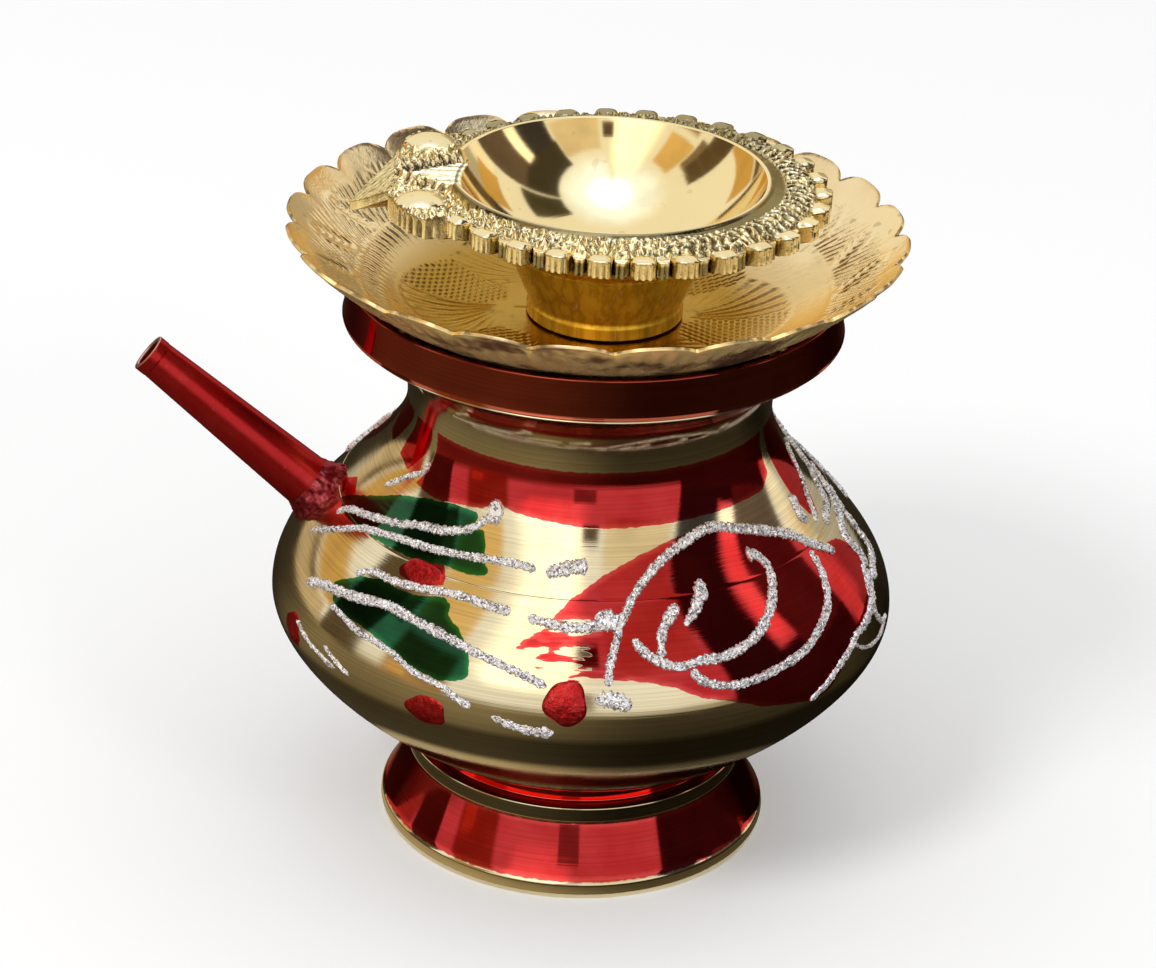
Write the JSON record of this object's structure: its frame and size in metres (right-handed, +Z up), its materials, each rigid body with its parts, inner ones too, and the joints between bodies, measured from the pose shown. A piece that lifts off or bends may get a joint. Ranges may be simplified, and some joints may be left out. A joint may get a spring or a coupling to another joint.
{
  "type": "spouted lota with cover plate and oil lamp",
  "caption": "Round-bellied spouted water pot on a flared foot, covered by a scalloped dish in which a footed oil lamp with a wick lip stands.",
  "frame": {"origin": "below the middle of the object's bounding box, on the plane it stands on; the pot's own axis is 11.57 mm from it towards +X", "axes": "+Z up along the pot's axis, the spout and the lamp's wick lip point to -X, +Y away from the picture's camera"},
  "size_m": [0.1274, 0.1042, 0.1168],
  "materials": {
    "pot_brass": "bright turned brass, painted over in clear red and green lacquer with silver glitter lines",
    "foot_brass": "clear red lacquer on turned brass, bare at the rim and the ledge",
    "band_brass": "clear dark red lacquer on turned brass",
    "spout_brass": "clear red lacquer on a brass tube, rubbed at the tip",
    "solder_bead": "lumpy solder under glossy red lacquer",
    "plate_brass": "bright embossed sheet brass",
    "lamp_brass": "cast brass, polished bowl and grained flange",
    "pedestal_brass": "polished turned brass"
  },
  "bodies": {
    "pot": {"foot_ring": "foot_brass", "belly_bowl": "pot_brass", "shoulder_neck": "pot_brass", "mouth_band": "band_brass", "spout": "spout_brass", "spout_collar": "solder_bead"},
    "plate": {"cover_plate": "plate_brass"},
    "lamp": {"lamp_bowl": "lamp_brass", "lamp_pedestal": "pedestal_brass"}
  },
  "joints": [
    {"name": "plate_lift", "type": "slide", "parent": "pot", "child": "plate", "axis": [0, 0, 1], "range_m": [0, 0.03]},
    {"name": "lamp_lift", "type": "slide", "parent": "plate", "child": "lamp", "axis": [0, 0, 1], "range_m": [0, 0.03]}
  ]
}
